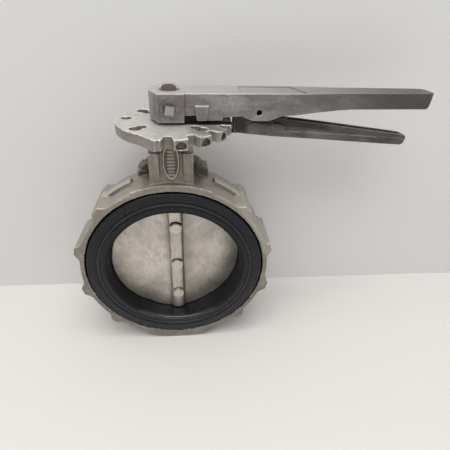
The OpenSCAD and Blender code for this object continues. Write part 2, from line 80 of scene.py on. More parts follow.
class Shader:
    """A node material on one Principled surface, with short calls for the nodes it is fed by."""

    def __init__(self, name, metallic, specular=0.5):
        self.material = bpy.data.materials.new(name)
        self.material.use_nodes = True
        self.tree = self.material.node_tree
        self.surface = self.tree.nodes["Principled BSDF"]
        self.surface.inputs["Metallic"].default_value = metallic
        self.surface.inputs["Specular IOR Level"].default_value = specular
        coordinates = self.tree.nodes.new("ShaderNodeTexCoord")
        self.place = coordinates.outputs["Object"]
        self.x, self.y, self.z = [self.axis(self.place, letter) for letter in "XYZ"]
        self.up = self.axis(coordinates.outputs["Normal"], "Z")
        self.backward = self.axis(coordinates.outputs["Normal"], "Y")
        self.heights = []

    def plug(self, value, socket):
        """Links a node's output to a socket, or sets a constant on it."""
        if isinstance(value, bpy.types.NodeSocket):
            self.tree.links.new(value, socket)
        else:
            socket.default_value = value

    def math(self, operation, a, b=0.0, c=0.0):
        """One operation of a Math node."""
        node = self.tree.nodes.new("ShaderNodeMath")
        node.operation = operation
        for value, socket in zip((a, b, c), node.inputs):
            self.plug(value, socket)
        return node.outputs[0]

    def noise(self, size, detail=2.0, roughness=0.5, stretch=(1, 1, 1), warp=0.0):
        """Noise from 0 to 1 whose blotches are about size metres across."""
        mapping = self.tree.nodes.new("ShaderNodeMapping")
        mapping.inputs["Scale"].default_value = [s / size for s in stretch]
        self.plug(self.place, mapping.inputs["Vector"])
        node = self.tree.nodes.new("ShaderNodeTexNoise")
        node.inputs["Scale"].default_value = 1.0
        node.inputs["Detail"].default_value = detail
        node.inputs["Roughness"].default_value = roughness
        node.inputs["Distortion"].default_value = warp
        self.plug(mapping.outputs[0], node.inputs["Vector"])
        return node.outputs["Fac"]

    def span(self, value, low, high, start=0.0, end=1.0):
        """start below low, end above high, and a smooth step between."""
        node = self.tree.nodes.new("ShaderNodeMapRange")
        node.interpolation_type = "SMOOTHSTEP"
        self.plug(value, node.inputs["Value"])
        for name, number in (("From Min", low), ("From Max", high), ("To Min", start), ("To Max", end)):
            self.plug(number, node.inputs[name])
        return node.outputs["Result"]

    def axis(self, vector, name):
        """One of a vector's X, Y and Z."""
        node = self.tree.nodes.new("ShaderNodeSeparateXYZ")
        self.plug(vector, node.inputs[0])
        return node.outputs[name]

    def near(self, point, radius, softness):
        """1 within radius of a point, fading to 0 over softness."""
        node = self.tree.nodes.new("ShaderNodeVectorMath")
        node.operation = "DISTANCE"
        self.plug(self.place, node.inputs[0])
        node.inputs[1].default_value = point
        return self.span(node.outputs["Value"], radius, radius + softness, 1.0, 0.0)

    def edges(self, low=0.5, high=0.56):
        """0 on flats and in hollows, 1 along sharp outward edges."""
        geometry = self.tree.nodes.new("ShaderNodeNewGeometry")
        return self.span(geometry.outputs["Pointiness"], low, high)

    def hollows(self, low=0.44, high=0.495):
        """1 in creases, 0 elsewhere."""
        geometry = self.tree.nodes.new("ShaderNodeNewGeometry")
        return self.span(geometry.outputs["Pointiness"], low, high, 1.0, 0.0)

    def crevices(self, reach, low=0.35, high=0.85):
        """1 deep in the piece's own holes and corners, 0 in the open, looking reach metres about."""
        node = self.tree.nodes.new("ShaderNodeAmbientOcclusion")
        node.samples = 8
        node.only_local = True
        node.inputs["Distance"].default_value = reach
        return self.span(node.outputs["AO"], low, high, 1.0, 0.0)

    def both(self, *factors):
        """The product of several masks."""
        product = factors[0]
        for factor in factors[1:]:
            product = self.math("MULTIPLY", product, factor)
        return product

    def length(self, a, b):
        """The root of the sum of two squares."""
        return self.math("SQRT", self.math("ADD", self.math("MULTIPLY", a, a), self.math("MULTIPLY", b, b)))

    def from_axis(self, axes, centre=(0.0, 0.0)):
        """Distance in the plane of two axes from a centre there."""
        away = [self.math("SUBTRACT", self.axis(self.place, a), c) for a, c in zip(axes, centre)]
        return self.length(*away)

    def band(self, value, low, high, softness=0.3 * MM):
        """1 between low and high."""
        return self.both(self.span(value, low - softness, low), self.span(value, high + softness, high))

    def mix(self, factor, a, b):
        """A colour between a and b."""
        node = self.tree.nodes.new("ShaderNodeMix")
        node.data_type = "RGBA"
        self.plug(factor, node.inputs["Factor"])
        for value, name in ((a, "A"), (b, "B")):
            socket = [s for s in node.inputs if s.name == name and s.type == "RGBA"][0]
            self.plug(value if isinstance(value, bpy.types.NodeSocket) else (*value, 1.0), socket)
        return [s for s in node.outputs if s.type == "RGBA"][0]

    def blend(self, factor, a, b):
        """A number between a and b."""
        return self.math("ADD", self.math("MULTIPLY", factor, b - a), a)

    def raise_by(self, height, metres):
        """Adds a bump that stands metres high where height is 1."""
        self.heights.append((height, metres))

    def finish(self, colour, roughness):
        """Joins colour, roughness and all bumps to the surface."""
        self.plug(colour, self.surface.inputs["Base Color"])
        self.plug(roughness, self.surface.inputs["Roughness"])
        normal = None
        for height, metres in self.heights:
            bump = self.tree.nodes.new("ShaderNodeBump")
            bump.inputs["Strength"].default_value = 1.0
            bump.inputs["Distance"].default_value = metres
            self.plug(height, bump.inputs["Height"])
            if normal is not None:
                self.plug(normal, bump.inputs["Normal"])
            normal = bump.outputs[0]
        if normal is not None:
            self.plug(normal, self.surface.inputs["Normal"])
        return self.material


# ---- cast stainless: the body ----

def shade_ring(s, colour):
    """Painted light above and on the right of the ring, painted shade at its lower left."""
    lit_upper_face = s.both(s.span(s.z, 10 * MM, 60 * MM), s.span(s.y, -20 * MM, -26 * MM), 0.17)
    colour = s.mix(lit_upper_face, colour, (0.50, 0.468, 0.42))
    lit_right_side = s.both(s.span(s.x, 60 * MM, 78 * MM), s.span(s.z, 12 * MM, 26 * MM),
                        s.span(s.from_axis("XZ"), 100.5 * MM, 102.5 * MM), 0.4)
    colour = s.mix(lit_right_side, colour, (0.52, 0.49, 0.44))
    shaded_lower_left = s.both(s.near((-84 * MM, BODY_LOW.y, -44 * MM), 18 * MM, 30 * MM), 0.5)
    return s.mix(shaded_lower_left, colour, (0.185, 0.165, 0.142))


def shade_neck(s, colour):
    """Pale runs down the neck, and its raised oval with painted shade on its floor and painted highlights
    on its rim and ribs.
    """
    runs = s.span(s.noise(5 * MM, 4, 0.6, stretch=(1, 1, 0.16)), 0.4, 0.72)
    on_neck = s.band(s.z, 118 * MM, 150 * MM, 8 * MM)
    colour = s.mix(s.both(runs, on_neck, 0.5), colour, (0.42, 0.395, 0.345))
    sideways = s.math("DIVIDE", s.x, OVAL_HALF_SIZES[0])
    upwards = s.math("DIVIDE", s.math("SUBTRACT", s.z, OVAL_HEIGHT), OVAL_HALF_SIZES[1])
    oval = s.length(sideways, upwards)
    on_face = s.span(s.y, -20 * MM, -20.6 * MM)
    # painted shade on the oval's floor, painted highlights on its rim and on its ribs
    colour = s.mix(s.both(on_face, s.span(oval, 0.90, 0.86), 0.8), colour, (0.085, 0.074, 0.062))
    colour = s.mix(s.both(on_face, s.band(oval, 0.90, 0.99, 0.03), 0.85), colour, (0.52, 0.495, 0.45))
    on_rib = s.both(s.span(s.y, -21.5 * MM, -21.9 * MM), s.span(oval, 0.86, 0.82))
    return s.mix(s.both(on_rib, 0.8), colour, (0.42, 0.39, 0.35))


def shade_shoulders(s, colour):
    """Painted highlights on the bars on the ring's shoulders, a painted shadow line in front of each, and
    painted light on what faces up.
    """
    reach = s.from_axis("XZ")
    across = s.math("ABSOLUTE", s.x)
    by_bar = s.both(s.span(s.z, 78 * MM, 82 * MM), s.span(across, 40 * MM, 43 * MM))
    lit_bar_top = s.both(by_bar, s.band(s.y, -2.6 * MM, 8.4 * MM), s.span(reach, 107.2 * MM, 108.2 * MM))
    colour = s.mix(s.both(lit_bar_top, 0.75), colour, (0.52, 0.495, 0.455))
    bar_shadow_line = s.both(by_bar, s.band(s.y, -4.4 * MM, -2.9 * MM), s.span(reach, 105.6 * MM, 104.9 * MM))
    colour = s.mix(s.both(bar_shadow_line, 0.9), colour, (0.02, 0.018, 0.016))
    lit_upward = s.both(s.span(s.up, 0.35, 0.9), s.span(reach, 100 * MM, 102 * MM),
                    s.span(across, 26 * MM, 34 * MM), 0.4)
    return s.mix(lit_upward, colour, (0.52, 0.495, 0.455))


def milled_colour(s):
    """The plate's milled top: scuffed, dark in one patch, with painted shade under the handle's arm."""
    scuffs = s.span(s.noise(9 * MM, 4, 0.65, warp=0.6), 0.35, 0.7)
    colour = s.mix(scuffs, (0.60, 0.59, 0.58), (0.49, 0.479, 0.466))
    patch = s.both(s.near((36 * MM, -33 * MM, PLATE_TOP), 8 * MM, 17 * MM), 0.8)
    colour = s.mix(patch, colour, (0.20, 0.20, 0.21))
    # painted shade under the handle's arm
    shade_under_arm = s.both(s.band(s.x, 13 * MM, 62 * MM, 3 * MM), s.band(s.y, -15 * MM, 10 * MM, 3 * MM), 0.95)
    return s.mix(shade_under_arm, colour, (0.02, 0.018, 0.016))


def cast_stainless():
    """Bead-blasted stainless casting with painted shade in its corners and a brighter milled top on the
    plate.
    """
    s = Shader("cast_stainless", metallic=0.75)
    reach = s.from_axis("XZ")
    blotch = s.span(s.noise(26 * MM, 4, 0.6), 0.35, 0.68)
    speckle = s.span(s.noise(3.4 * MM, 4, 0.65), 0.35, 0.68)
    pits = s.span(s.noise(1.1 * MM, 2, 0.6), 0.60, 0.72)
    edge_breakup = s.span(s.noise(7 * MM, 3, 0.6), 0.38, 0.6)
    colour = s.mix(blotch, (0.240, 0.217, 0.188), (0.350, 0.323, 0.287))
    colour = s.mix(s.both(speckle, 0.5), colour, (0.190, 0.170, 0.146))
    colour = s.mix(s.both(pits, 0.4), colour, (0.11, 0.096, 0.082))
    colour = shade_ring(s, colour)
    colour = shade_neck(s, colour)

    # painted shade on the ears behind the neck, in the plate's shadow
    shaded_ears = s.both(s.span(s.y, 6.5 * MM, 8.5 * MM), s.band(s.z, 99 * MM, 123 * MM, 1 * MM),
                  s.band(s.math("ABSOLUTE", s.x), 21.9 * MM, 40 * MM),
                  s.span(reach, 105.4 * MM, 106.4 * MM))
    colour = s.mix(s.both(shaded_ears, 0.72), colour, s.mix(speckle, (0.09, 0.080, 0.073), (0.15, 0.135, 0.122)))
    colour = shade_shoulders(s, colour)

    # painted black shade in the gap round the seat, painted shade in creases and holes, and wear, chips and
    # painted highlights on edges
    seat_gap_shade = s.span(reach, SEAT_HIGH.x + 2.4 * MM, SEAT_HIGH.x + 1.9 * MM)
    colour = s.mix(s.both(seat_gap_shade, 0.95), colour, (0.006, 0.005, 0.005))
    colour = s.mix(s.both(s.crevices(7 * MM), 0.85), colour, (0.045, 0.038, 0.031))
    colour = s.mix(s.both(s.hollows(0.43, 0.485), 0.4), colour, (0.085, 0.074, 0.062))
    away_from_ears = s.math("SUBTRACT", 1.0, s.both(shaded_ears, 0.85))
    # edge wear with painted highlights, and bright chips with painted glints, kept off the ears
    colour = s.mix(s.both(s.edges(0.512, 0.56), edge_breakup, away_from_ears, 0.75), colour, (0.62, 0.59, 0.55))
    chips_and_glints = s.both(s.edges(0.515, 0.55), s.span(s.noise(3 * MM, 3, 0.7), 0.54, 0.62), away_from_ears)
    colour = s.mix(s.both(chips_and_glints, 0.85), colour, (0.85, 0.82, 0.78))

    # the milled top, and painted highlights along its edges
    milled = s.both(s.span(s.z, PLATE_TOP - 0.7 * MM, PLATE_TOP - 0.25 * MM), s.span(s.up, 0.6, 0.9))
    colour = s.mix(milled, colour, milled_colour(s))
    colour = s.mix(s.both(milled, s.edges(0.505, 0.54), edge_breakup, 0.9), colour, (0.94, 0.93, 0.92))
    rough = s.blend(milled, 0.60, 0.54)
    s.raise_by(s.noise(0.8 * MM, 2, 0.6), 0.05 * MM)
    s.raise_by(s.noise(4 * MM, 3, 0.55), 0.22 * MM)
    return s.finish(colour, rough)


# ---- satin stainless: the disc ----

def shade_boss(s, colour):
    """A boss rubbed and with a painted highlight down its middle, painted shade at both flanks and a
    painted shadow further out on its right.
    """
    across = s.math("ABSOLUTE", s.x)
    polish_and_highlight = s.both(s.span(across, 7 * MM, 4.5 * MM),
                      s.span(s.noise(16 * MM, 3, 0.6, stretch=(2, 1, 0.5)), 0.35, 0.6))
    colour = s.mix(s.both(polish_and_highlight, 0.45), colour, (0.68, 0.645, 0.60))
    flank_shade = s.both(s.span(across, 5.8 * MM, 8 * MM), s.span(across, 13 * MM, 8.8 * MM), 0.45)
    colour = s.mix(flank_shade, colour, (0.20, 0.178, 0.158))
    lee_shadow = s.both(s.span(s.x, 6 * MM, 9 * MM), s.span(s.x, 24 * MM, 12 * MM), 0.42)
    return s.mix(lee_shadow, colour, (0.24, 0.213, 0.19))


def shade_pockets(s, colour):
    """A painted shadow in a crescent above each screw's head."""
    middle = (SCREWS_LOW.x + SCREWS_HIGH.x) / 2
    head_radius = (SCREWS_HIGH.x - SCREWS_LOW.x) / 2
    in_front = s.span(s.y, -4 * MM, -5 * MM)
    for level, gap in zip(SCREW_HEIGHTS, POCKET_GAPS):
        pocket = s.span(s.from_axis("XZ", (middle, level)), head_radius + gap + 0.3 * MM, head_radius + gap)
        above = s.span(s.z, level + 0.5 * MM, level + 2.5 * MM)
        # painted shadow of the pocket's wall above the head
        colour = s.mix(s.both(pocket, above, in_front, 0.97), colour, (0.008, 0.007, 0.006))
    return colour


def satin_stainless():
    """Smooth satin disc with clouds, swirls, water marks and a paler place left of its boss, with painted
    shade in its corners and painted highlights on worn edges.
    """
    s = Shader("satin_stainless", metallic=0.85)
    clouds = s.span(s.noise(30 * MM, 4, 0.6, warp=0.8), 0.32, 0.7)
    marks = s.span(s.noise(7 * MM, 5, 0.7, stretch=(1, 1, 0.6), warp=1.2), 0.42, 0.72)
    swirls = s.span(s.noise(13 * MM, 5, 0.68, stretch=(1, 1, 0.8), warp=2.2), 0.46, 0.66)
    colour = s.mix(clouds, (0.43, 0.392, 0.353), (0.63, 0.585, 0.535))
    colour = s.mix(s.both(swirls, 0.35), colour, (0.68, 0.632, 0.580))
    colour = s.mix(s.both(marks, 0.45), colour, (0.40, 0.362, 0.328))
    colour = shade_boss(s, colour)
    # a paler place left of the boss
    brightened = s.both(s.near((-30 * MM, -9 * MM, 4 * MM), 12 * MM, 24 * MM),
                    s.span(s.noise(10 * MM, 4, 0.65, warp=1.0), 0.30, 0.6))
    colour = s.mix(s.both(brightened, 0.6), colour, (0.78, 0.73, 0.675))
    # painted shade in the disc's corners and holes, and worn edges with painted highlights
    colour = s.mix(s.both(s.crevices(5 * MM, 0.4, 0.9), 0.92), colour, (0.035, 0.029, 0.024))
    colour = s.mix(s.both(s.edges(0.52, 0.58), 0.4), colour, (0.70, 0.67, 0.63))
    colour = shade_pockets(s, colour)
    rough = s.blend(marks, 0.40, 0.54)
    s.raise_by(s.noise(0.7 * MM, 2, 0.5), 0.02 * MM)
    s.raise_by(s.noise(9 * MM, 3, 0.5), 0.25 * MM)
    return s.finish(colour, rough)


# ---- steel and bronze: stem, screws, pin, rings and bushings ----

def turned_steel():
    """Bright steel with fine scratches and rust-brown staining, duller on the hub's set screw."""
    s = Shader("turned_steel", metallic=0.95)
    stain = s.span(s.noise(3.5 * MM, 4, 0.7), 0.50, 0.70)
    dull = s.span(s.z, HANDLE_LOW.z, HANDLE_LOW.z + 1 * MM)
    clean = s.mix(dull, (0.58, 0.55, 0.505), (0.42, 0.415, 0.40))
    colour = s.mix(s.both(stain, 0.5), clean, (0.27, 0.225, 0.18))
    rough = s.blend(stain, 0.36, 0.55)
    s.raise_by(s.noise(0.6 * MM, 3, 0.6), 0.05 * MM)
    return s.finish(colour, rough)


def stem_steel():
    """Turned steel, with a brown bloom on the flat that faces the set screw."""
    s = Shader("stem_steel", metallic=0.95)
    stain = s.span(s.noise(3 * MM, 4, 0.7), 0.5, 0.72)
    flat = s.both(s.span(s.backward, -0.93, -0.98),
                  s.span(s.z, HANDLE_HIGH.z - 30 * MM, HANDLE_HIGH.z - 1 * MM))
    colour = s.mix(s.both(stain, 0.4), (0.74, 0.71, 0.68), (0.42, 0.36, 0.30))
    colour = s.mix(s.both(flat, 0.85), colour, (0.155, 0.12, 0.105))
    rough = s.blend(flat, 0.24, 0.6)
    s.raise_by(s.noise(0.8 * MM, 3, 0.6), 0.04 * MM)
    return s.finish(colour, rough)


def blackened_steel():
    """Oil-blackened pin with a little bare steel showing through."""
    s = Shader("blackened_steel", metallic=0.5)
    bare = s.span(s.noise(1.5 * MM, 3, 0.6), 0.58, 0.74)
    colour = s.mix(s.both(bare, 0.3), (0.010, 0.009, 0.008), (0.12, 0.11, 0.10))
    s.raise_by(s.noise(0.5 * MM, 2, 0.5), 0.03 * MM)
    return s.finish(colour, 0.55)


def bearing_bronze():
    """Machined bronze with fine turning lines."""
    s = Shader("bearing_bronze", metallic=0.95)
    lines = s.noise(0.5 * MM, 1, 0.4, stretch=(0.1, 0.1, 1))
    tarnish = s.span(s.noise(6 * MM, 3, 0.6), 0.4, 0.7)
    colour = s.mix(tarnish, (0.60, 0.41, 0.19), (0.44, 0.28, 0.13))
    s.raise_by(lines, 0.03 * MM)
    return s.finish(colour, 0.34)


# ---- cast aluminium: the handle and its latch lever ----

def stain_hub(s, colour):
    """Brown and bluish bloom round the set screw, with a ring of painted shade close to it."""
    brown = s.both(s.near(HUB_SCREW, 7 * MM, 18 * MM),
                   s.span(s.noise(7 * MM, 3, 0.6, warp=0.8), 0.3, 0.6))
    colour = s.mix(s.both(brown, 0.65), colour, (0.205, 0.160, 0.137))
    bluish = s.both(s.near((4 * MM, HANDLE_LOW.y, HANDLE_HIGH.z - 6 * MM), 8 * MM, 22 * MM),
                    s.span(s.noise(8 * MM, 3, 0.6, warp=1.2), 0.45, 0.6), 0.45)
    colour = s.mix(bluish, colour, (0.135, 0.130, 0.150))
    screw_seat_shade = s.near(HUB_SCREW, 4.4 * MM, 2.4 * MM)
    return s.mix(s.both(screw_seat_shade, 0.8), colour, (0.07, 0.058, 0.052))


def shade_handle_top(s, colour):
    """Painted light on the top face, with painted shade along its panel's wall and in the gap by the stem.
    """
    lit_top = s.both(s.span(s.z, HANDLE_HIGH.z - 1.6 * MM, HANDLE_HIGH.z - 0.8 * MM), s.span(s.up, 0.8, 0.95))
    colour = s.mix(s.both(lit_top, 0.7), colour, (0.56, 0.538, 0.52))
    aside = s.math("SUBTRACT", s.y, s.math("MULTIPLY", s.x, math.tan(HANDLE_TURN)))
    panel_wall_shade = s.both(s.band(s.x, 64.5 * MM, 130 * MM), s.band(aside, -15 * MM, 14.8 * MM),
                        s.band(s.z, HANDLE_HIGH.z - 0.62 * MM, HANDLE_HIGH.z - 0.2 * MM, 0.08 * MM))
    colour = s.mix(s.both(panel_wall_shade, 0.8), colour, (0.05, 0.044, 0.040))
    stem_gap_shade = s.both(lit_top, s.span(s.from_axis("XY"), 10.2 * MM, 9.4 * MM))
    return s.mix(s.both(stem_gap_shade, 0.8), colour, (0.05, 0.045, 0.04))


def cast_aluminium():
    """Tumbled grey aluminium, darker towards the arm's end, brown round the set screw, with a parting line,
    painted shade in its creases and painted light on its top.
    """
    s = Shader("cast_aluminium", metallic=0.7)
    cloud = s.span(s.noise(34 * MM, 4, 0.62, stretch=(0.7, 1, 1.4), warp=0.7), 0.34, 0.68)
    smear = s.span(s.noise(9 * MM, 4, 0.65, stretch=(0.35, 1, 1.3), warp=0.5), 0.38, 0.72)
    colour = s.mix(cloud, (0.215, 0.206, 0.206), (0.43, 0.412, 0.404))
    colour = s.mix(s.both(smear, 0.5), colour, (0.45, 0.433, 0.425))
    grain = s.span(s.noise(1.3 * MM, 3, 0.7, stretch=(0.75, 1, 1)), 0.38, 0.66)
    colour = s.mix(s.both(grain, 0.5), colour, (0.16, 0.151, 0.147))
    scratches = s.both(s.span(s.noise(0.8 * MM, 2, 0.6, stretch=(0.07, 1, 1)), 0.58, 0.70),
                       s.span(s.x, 22 * MM, 60 * MM), 0.3)
    colour = s.mix(scratches, colour, (0.085, 0.076, 0.070))
    rust = s.span(s.noise(15 * MM, 4, 0.65, stretch=(0.4, 1, 1.2), warp=1.0), 0.55, 0.75)
    colour = s.mix(s.both(rust, 0.4), colour, (0.21, 0.172, 0.148))
    colour = stain_hub(s, colour)

    # painted shade in creases, and painted black shade in the notch beside the hub
    colour = s.mix(s.both(s.crevices(8 * MM), 0.92), colour, (0.018, 0.016, 0.014))
    colour = s.mix(s.both(s.hollows(), 0.5), colour, (0.06, 0.052, 0.045))
    notch_shade = s.both(s.band(s.x, 13 * MM, 36 * MM), s.span(s.z, 172.6 * MM, 171.8 * MM),
                   s.span(s.y, -16 * MM, -14 * MM))
    colour = s.mix(s.both(notch_shade, 0.95), colour, (0.012, 0.011, 0.010))

    colour = shade_handle_top(s, colour)
    # worn edges with painted highlights
    colour = s.mix(s.both(s.edges(0.51, 0.56), 0.75), colour, (0.66, 0.645, 0.625))
    # darker along the arm towards its end
    darker_towards_end = s.span(s.x, 10 * MM, HANDLE_HIGH.x, 0.0, 0.88)
    colour = s.mix(darker_towards_end, colour, (0.072, 0.067, 0.064))
    rough = s.blend(smear, 0.46, 0.58)
    parting = s.span(s.z, 179.7 * MM, 180.4 * MM)
    s.raise_by(s.noise(0.9 * MM, 3, 0.6), 0.05 * MM)
    s.raise_by(s.noise(6 * MM, 3, 0.55), 0.3 * MM)
    s.raise_by(parting, 0.3 * MM)
    return s.finish(colour, rough)


def dark_aluminium():
    """The latch lever's darker, duller casting, with painted shade and painted highlights."""
    s = Shader("dark_cast_aluminium", metallic=0.7)
    cloud = s.span(s.noise(24 * MM, 4, 0.62, stretch=(0.6, 1, 1.2), warp=0.6), 0.34, 0.68)
    speck = s.span(s.noise(2.5 * MM, 4, 0.65, stretch=(0.5, 1, 1)), 0.45, 0.75)
    colour = s.mix(cloud, (0.088, 0.085, 0.080), (0.172, 0.167, 0.159))
    colour = s.mix(s.both(speck, 0.35), colour, (0.25, 0.243, 0.232))

    # a painted highlight along the grip's ledge, and darker towards its end
    along_grip = s.math("ADD", s.z, s.math("MULTIPLY", s.x, 0.067))
    brightened = s.both(s.band(along_grip, 160.7 * MM, 161.4 * MM, 0.4 * MM),
                    s.band(s.x, 115 * MM, 200 * MM, 15 * MM),
                    s.span(s.noise(12 * MM, 3, 0.6, stretch=(0.5, 1, 1)), 0.36, 0.56), 0.6)
    colour = s.mix(brightened, colour, (0.33, 0.32, 0.305))
    far_end = s.span(s.x, 150 * MM, 230 * MM, 0.0, 0.45)
    colour = s.mix(far_end, colour, (0.062, 0.058, 0.055))

    # painted shade at the pivot end and close under the handle
    nose_shade = s.both(s.span(s.x, 78 * MM, 70 * MM), 0.85)
    under_handle = s.math("ADD", s.z, s.math("MULTIPLY", s.x, 0.115))
    shaded = s.both(s.band(s.x, 60 * MM, 150 * MM, 20 * MM),
                    s.span(under_handle, 169 * MM, 173 * MM), 0.75)
    colour = s.mix(s.math("MAXIMUM", nose_shade, shaded), colour, (0.028, 0.026, 0.024))
    # painted shade in creases and holes, and worn edges with painted highlights
    colour = s.mix(s.both(s.crevices(6 * MM), 0.9), colour, (0.012, 0.011, 0.010))
    colour = s.mix(s.both(s.edges(0.508, 0.55), 0.7), colour, (0.40, 0.39, 0.37))
    rough = s.blend(speck, 0.48, 0.6)
    s.raise_by(s.noise(0.9 * MM, 3, 0.6), 0.06 * MM)
    s.raise_by(s.noise(5 * MM, 3, 0.55), 0.25 * MM)
    return s.finish(colour, rough)


# ---- rubber: the seat, seals and O-rings ----

def rubber():
    """Moulded black rubber with a low satin shine, paler low down, a painted highlight on its ridge,
    painted shade in its grooves and bore, glossy at its lip.
    """
    s = Shader("black_rubber", metallic=0.0, specular=0.3)
    reach = s.from_axis("XZ")
    dust = s.span(s.noise(14 * MM, 5, 0.7), 0.45, 0.8)
    colour = s.mix(s.both(dust, 0.6), (0.0058, 0.0060, 0.0105), (0.0115, 0.0117, 0.0165))
    low = s.span(s.z, -58 * MM, -66 * MM)
    sleeve = s.both(s.span(reach, 79.5 * MM, 77.5 * MM), s.math("SUBTRACT", 1.0, low))
    rough = s.math("MAXIMUM", s.blend(dust, 0.24, 0.38), s.both(sleeve, 0.66))
    paler_below = s.both(s.span(s.z, 30 * MM, -60 * MM), s.span(reach, 78 * MM, 81 * MM), 0.75)
    colour = s.mix(paler_below, colour, (0.021, 0.021, 0.026))
    # painted shade inside the bore
    colour = s.mix(s.both(sleeve, 0.8), colour, (0.0035, 0.0035, 0.005))
    # painted highlight along the ridge, painted shade in the grooves beside it
    crest_highlight = s.band(reach, 84.4 * MM, 86.3 * MM, 0.6 * MM)
    colour = s.mix(s.both(crest_highlight, 0.8), colour, (0.027, 0.027, 0.033))
    groove_shade = s.math("MAXIMUM", s.band(reach, 86.7 * MM, 88.2 * MM), s.band(reach, 82.6 * MM, 83.8 * MM))
    colour = s.mix(s.both(groove_shade, 0.9), colour, (0.002, 0.002, 0.003))
    from_middle = s.math("ABSOLUTE", s.y)
    lip = s.both(s.span(reach, 79 * MM, 77.8 * MM), s.span(from_middle, 24 * MM, 26 * MM), low)
    s.plug(lip, s.surface.inputs["Coat Weight"])
    s.surface.inputs["Coat Roughness"].default_value = 0.16
    s.raise_by(s.noise(0.5 * MM, 2, 0.5), 0.015 * MM)
    s.raise_by(s.noise(12 * MM, 2, 0.5), 0.12 * MM)
    return s.finish(colour, rough)


# ---- mesh helpers ----

def new_piece(name, mesh, material, body, slot, *replaced):
    """Links a piece, gives it its material and body, and hides the CAD nodes it stands for."""
    piece = bpy.data.objects.new(name, mesh)
    scene.collection.objects.link(piece)
    mesh.materials.clear()
    mesh.materials.append(material)
    mesh.polygons.foreach_set("material_index", np.zeros(len(mesh.polygons), np.int32))
    mesh.polygons.foreach_set("use_smooth", np.ones(len(mesh.polygons), bool))
    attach(piece, body)
    if replaced:
        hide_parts(*replaced)
    return piece


def evaluated(mesh, *modifiers):
    """The mesh after some modifiers, each given as a type and its settings."""
    holder = bpy.data.objects.new("holder", mesh)
    scene.collection.objects.link(holder)
    for kind, settings in modifiers:
        modifier = holder.modifiers.new(kind.lower(), kind)
        for key, value in settings.items():
            setattr(modifier, key, value)
    graph = bpy.context.evaluated_depsgraph_get()
    result = bpy.data.meshes.new_from_object(holder.evaluated_get(graph))
    bpy.data.objects.remove(holder)
    return result


def points_of(mesh):
    """The mesh's vertices as rows of x, y and z."""
    points = np.empty(len(mesh.vertices) * 3)
    mesh.vertices.foreach_get("co", points)
    return points.reshape(-1, 3)


def relax(mesh, passes, ease):
    """Moves each vertex towards the middle of its neighbours, as far as ease says for it, from 0 to 1."""
    points = points_of(mesh)
    edges = np.empty(len(mesh.edges) * 2, np.int32)
    mesh.edges.foreach_get("vertices", edges)
    first, second = edges.reshape(-1, 2).T
    count = len(points)
    links = np.bincount(first, minlength=count) + np.bincount(second, minlength=count)
    share = (0.5 * ease(points) / np.maximum(links, 1))[:, None]
    for _ in range(passes):
        total = np.stack([np.bincount(first, points[second, k], count)
                          + np.bincount(second, points[first, k], count) for k in range(3)], 1)
        points += share * (total - links[:, None] * points)
    mesh.vertices.foreach_set("co", points.ravel())
    mesh.update()


def casting(node, name, voxel, passes, ease, material, body, slot, most_faces=190_000):
    """A CAD node remade as an even mesh, its edges and corners rounded as a casting's are."""
    mesh = evaluated(nodes[node].data.copy(), ("REMESH", {"mode": "VOXEL", "voxel_size": voxel}))
    relax(mesh, passes, ease)
    triangles = 2 * len(mesh.polygons)
    if triangles > most_faces:
        mesh = evaluated(mesh, ("DECIMATE", {"ratio": most_faces / triangles}))
    return new_piece(name, mesh, material, body, slot, node)


def fade(values, low, high):
    """0 below low, 1 above high, a smooth step between, for arrays."""
    t = np.clip((values - low) / (high - low), 0, 1)
    return t * t * (3 - 2 * t)


def even_ease(points):
    """The same rounding all over."""
    return np.ones(len(points))


# ---- body casting ----

def body_ease(points):
    """The milled plate top and the seat's recess stay crisper than the rough casting."""
    plate = fade(points[:, 2], PLATE_TOP - 2 * MM, PLATE_TOP - 0.5 * MM)
    radius = np.hypot(points[:, 0], points[:, 2])
    recess = 1 - fade(radius, 99 * MM, 101 * MM)
    return 1 - np.maximum(0.7 * plate, 0.15 * recess)


def roughen_ears(piece):
    """Breaks up the ears behind the neck, which are rough from the mould."""
    lump_size = 4.5 * MM
    lump_height = 2.2 * MM
    mesh = piece.data
    points = points_of(mesh)
    normals = np.empty(len(mesh.vertices) * 3)
    mesh.vertices.foreach_get("normal", normals)
    normals = normals.reshape(-1, 3)
    inside = (fade(np.abs(points[:, 0]), 23 * MM, 26 * MM) * fade(points[:, 1], 7 * MM, 9 * MM)
              * fade(points[:, 2], 102 * MM, 105 * MM) * (1 - fade(points[:, 2], 124 * MM, 126 * MM))
              * fade(np.hypot(points[:, 0], points[:, 2]), 106.5 * MM, 109 * MM))
    for i in np.flatnonzero(inside > 0.01):
        lump = noise.fractal(Vector(points[i]) / lump_size, 0.7, 2.1, 4)
        points[i] += normals[i] * inside[i] * lump * lump_height
    mesh.vertices.foreach_set("co", points.ravel())
    mesh.update()


# ---- disc ----

def disc_ease(points):
    """Deep fillets beside the boss, a crisp sealing edge and crisp screw pockets."""
    rim = fade(np.linalg.norm(points, axis=1), 72 * MM, 74 * MM)
    pocket = np.zeros(len(points))
    for height in SCREW_HEIGHTS:
        reach = np.hypot(points[:, 0], points[:, 2] - height)
        pocket = np.maximum(pocket, 1 - fade(reach, 8 * MM, 11 * MM))
    inside = 1 - fade(np.hypot(points[:, 0], points[:, 1]), 9 * MM, 10.5 * MM)
    return 1 - 0.93 * np.maximum(np.maximum(rim, pocket), inside)


# ---- seat ----

def arc(centre, radius, start, end, steps):
    """Points on an arc in the plane of radius and depth, angles in degrees."""
    angles = [math.radians(a) for a in np.linspace(start, end, steps)]
    return [(centre[0] + radius * math.cos(a), centre[1] + radius * math.sin(a)) for a in angles]


